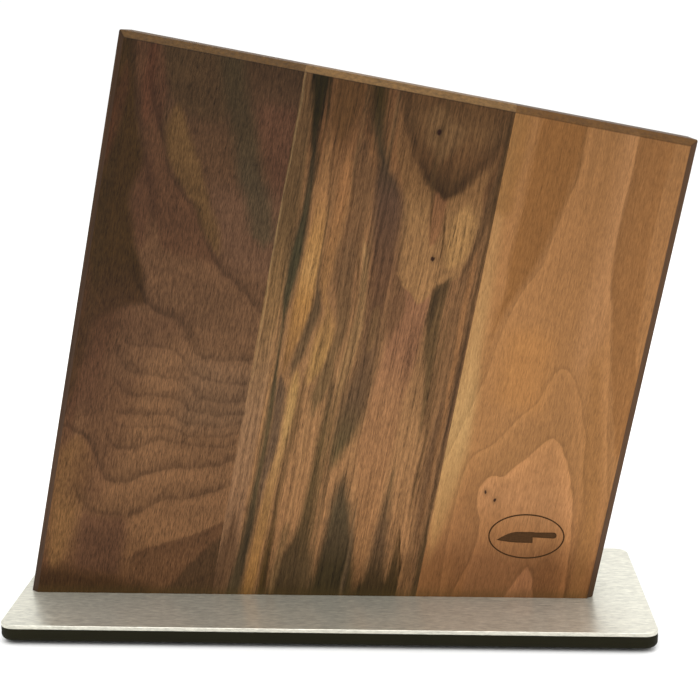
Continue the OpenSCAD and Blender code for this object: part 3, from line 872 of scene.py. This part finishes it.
def stave_arris(first, second):
    """1 for the block's top corners, less for its other outer edges, 0 for edges that stay sharp."""
    ends = [to_block(first), to_block(second)]
    shells = (PANEL_T, PANEL_T - CHAMFER)
    if not any(abs(abs(end[1]) - shell) < TOUCH for end in ends for shell in shells):
        return 0
    if all(co.z - PLATE_TOP < 0.01 * MM for co in (first, second)):
        return 0
    if any(all(abs(end[0] - inner) < TOUCH for end in ends) for inner in SEAMS[1:3]):
        return 0
    level = all(end[2] > LEFT_LEN - TOUCH for end in ends)
    outer = all(end[0] < TOUCH or end[0] > BLOCK_W - TOUCH for end in ends)
    return 1.0 if level and outer else 0.42


def plate_arris(first, second):
    """1 round the plate's rim, 0 at its holes."""
    low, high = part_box("steel_plate")
    rim = 8 * MM
    inside = [min(co.x - low.x, high.x - co.x, co.y - low.y, high.y - co.y) for co in (first, second)]
    return 1.0 if max(inside) < rim else 0


def extruded(name, loops, near, far):
    """A solid between two depths, from closed loops of points; the first goes round the others."""
    bm = bmesh.new()
    sides = []
    for depth in (near, far):
        edges = []
        for loop in loops:
            verts = [bm.verts.new((x, depth, z)) for x, z in loop]
            edges += [bm.edges.new((verts[i], verts[(i + 1) % len(verts)])) for i in range(len(verts))]
        bmesh.ops.triangle_fill(bm, edges=edges, use_beauty=True)
        sides.append(edges)
    for a, b in zip(*sides):
        bm.faces.new((a.verts[0], a.verts[1], b.verts[1], b.verts[0]))
    bmesh.ops.recalc_face_normals(bm, faces=bm.faces)
    return add_object(name, bm)


# ---------------------------------------- the pieces

MARK_CENTRE = from_block(228, 0, 75)
MARK_DEPTH = 0.35
MARK_W = 36
MARK_H = 22


def oval(width, height, steps=72):
    return [(MARK_CENTRE.x + width / 2 * MM * math.cos(i * math.tau / steps),
             MARK_CENTRE.z + height / 2 * MM * math.sin(i * math.tau / steps)) for i in range(steps)]


def knife_outline():
    """A plain cook's knife, level, with its point to the left."""
    tip, heel, butt = -14, 3, 14
    edge, spine = -3.2, 2.2
    grip_low, grip_high = -0.5, 2.0
    middle, swell = (grip_low + grip_high) / 2, (grip_high - grip_low) / 2
    round_end = swell * 1.2
    points = []
    for i in range(10):  # the back of the blade falls to the point
        share = i / 9
        points.append((tip + 10 * share, -1.8 + (spine + 1.8) * math.sin(share * math.pi / 2)))
    points += [(heel, spine), (heel + 1, grip_high)]
    for i in range(13):  # the handle swells a little and ends round
        angle = math.pi / 2 - math.pi * i / 12
        across = butt - swell + round_end * math.cos(angle)
        points.append((across, middle - 0.2 + round_end * math.sin(angle)))
    points += [(heel + 1, grip_low), (heel, grip_low), (heel, edge)]
    for i in range(1, 10):  # the cutting edge curves up to the point
        share = i / 10
        points.append((heel + (tip - heel) * share, edge + (-1.8 - edge) * share ** 3))
    return [(MARK_CENTRE.x + x * MM, MARK_CENTRE.z + z * MM) for x, z in points]


def engrave(piece):
    """Cuts a generic mark, an oval ring round a knife, into a front stave."""
    face = -PANEL_T * MM
    line = 0.7
    ring = [oval(MARK_W, MARK_H), oval(MARK_W - 2 * line, MARK_H - 2 * line)]
    for loops in (ring, [knife_outline()]):
        cut(piece, extruded("mark_cutter", loops, face - 1 * MM, face + MARK_DEPTH * MM))
    settle_normals(piece)
    burnt = engraving("mark_burnt")
    piece.data.materials.append(burnt)
    burnt_index = len(piece.data.materials) - 1
    for polygon in piece.data.polygons:
        depth = polygon.center.y - face
        near = (polygon.center - Vector((MARK_CENTRE.x, face, MARK_CENTRE.z))).length
        if 0.05 * MM < depth < 0.6 * MM and near < MARK_W * MM:
            polygon.material_index = burnt_index


WOODS = {"walnut_dark": dark_walnut, "walnut_figured": figured_walnut, "walnut_light": light_walnut}

pieces = []
for side in SIDES:
    # The rear panel is the front one turned round, so its staves come in the other order
    slots = WOODS if side == "front" else reversed(WOODS)
    for place, slot in zip(PLACES, slots):
        node = f"{side}_stave_{place}"
        stave = rounded_copy(node, f"{node}_board", 0.9, stave_arris)
        stave.data.materials.clear()
        stave.data.materials.append(WOODS[slot](f"{side}_{slot}", side))
        if node == "front_stave_right":
            engrave(stave)
        pieces.append(stave)

plate = rounded_copy("steel_plate", "steel_plate_brushed", 0.5, plate_arris)
plate.data.materials.clear()
plate.data.materials.append(brushed_steel("plate_steel", (0.615, 0.60, 0.51), 0.33))
pieces.append(plate)

for piece in pieces:
    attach(piece, "root")

# CAD nodes that keep their shape
FEET = [f"foot_{side}_{hand}" for side in SIDES for hand in ("left", "right")]
CAD_MATERIALS = {
    "base_board": matt_black("board_black"),
    **dict.fromkeys(FEET, rubber("foot_rubber")),
    "fixing_screws": plain_metal("screw_steel", (0.62, 0.61, 0.58), 0.32, (0.4, 0.4, 4)),
    "threaded_inserts": plain_metal("insert_brass", (0.72, 0.48, 0.18), 0.3, (0.4, 0.4, 4)),
    "panel_dowels": beech("dowel_beech"),
}
nickel = plain_metal("magnet_nickel", (0.72, 0.70, 0.66), 0.22, (0.6, 4, 0.6))
keeper_steel = plain_metal("keeper_steel", (0.30, 0.30, 0.31), 0.45, (0.2, 3, 3))
for side in SIDES:
    for row in ("top", "middle", "bottom"):
        CAD_MATERIALS[f"{side}_magnets_{row}"] = nickel
        CAD_MATERIALS[f"{side}_keeper_{row}"] = keeper_steel
for node, material in CAD_MATERIALS.items():
    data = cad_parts[node].data
    data.materials.clear()
    data.materials.append(material)


# ---------------------------------------- stage, light and camera

def white_floor():
    """A wide pale floor."""
    bm = bmesh.new()
    bmesh.ops.create_grid(bm, x_segments=2, y_segments=2, size=80)
    floor = add_object("floor", bm)
    paint = Shader("floor_white", roughness=0.7, specular_ior_level=0.1)
    cloud = paint.noise(paint.place, (0.002, 0.002, 0.002), 2)
    paint.set(base_color=paint.mix((0.88, 0.88, 0.87), (0.9, 0.9, 0.89), cloud))
    floor.data.materials.append(paint.material)


def area_light(name, place, aim, size, power):
    data = bpy.data.lights.new(name, "AREA")
    data.shape = "RECTANGLE"
    data.size, data.size_y = size
    data.energy = power
    light = bpy.data.objects.new(name, data)
    light.location = place
    light.rotation_euler = (Vector(aim) - Vector(place)).to_track_quat("-Z", "Y").to_euler()
    bpy.context.scene.collection.objects.link(light)


def studio_world():
    """White all round for the eye, and a little dimmer on the left and in front as a light."""
    world = bpy.data.worlds.new("studio")
    bpy.context.scene.world = world
    world.use_nodes = True
    nodes = Nodes(world.node_tree)
    direction = nodes.node("ShaderNodeTexCoord", {}, "Generated")
    x, y, z = (nodes.node("ShaderNodeSeparateXYZ", {0: direction}, axis) for axis in "XYZ")
    above = nodes.step(z, 0.1, 0.9, 0.8, 1.5)
    right = nodes.step(x, -0.5, 0.4, 0.72, 1.06)
    behind = nodes.step(y, 0.55, 0.95, 1.0, 1.3)
    seen = nodes.node("ShaderNodeLightPath", {}, "Is Camera Ray")
    background = nodes.tree.nodes["Background"]
    nodes.put(seen * 1.05 + (1 - seen) * (above * right * behind), background.inputs["Strength"])
    background.inputs["Color"].default_value = (1, 1, 1, 1)


def camera():
    """The camera stands a little to the right and looks down on the block."""
    place = (0.0341, -0.7262, 0.2703)
    yaw, pitch, roll = (math.radians(angle) for angle in (-2.65, 11.2, -0.26))
    data = bpy.data.cameras.new("camera")
    data.sensor_width = 36
    data.lens = 80.3
    data.clip_end = 50
    made = bpy.data.objects.new("camera", data)
    turn = Matrix.Rotation(-yaw, 4, "Z") @ Matrix.Rotation(math.pi / 2 - pitch, 4, "X")
    made.matrix_world = Matrix.Translation(place) @ turn @ Matrix.Rotation(roll, 4, "Z")
    bpy.context.scene.collection.objects.link(made)
    bpy.context.scene.camera = made


white_floor()
studio_world()
area_light("key", (-0.5, -1.0, 1.3), (0, 0, 0.1), (1.2, 0.9), 9)
area_light("top", (0.2, 0.3, 1.6), (0, 0, 0), (1.6, 1.6), 12)
camera()
bpy.context.scene.view_settings.view_transform = "Standard"
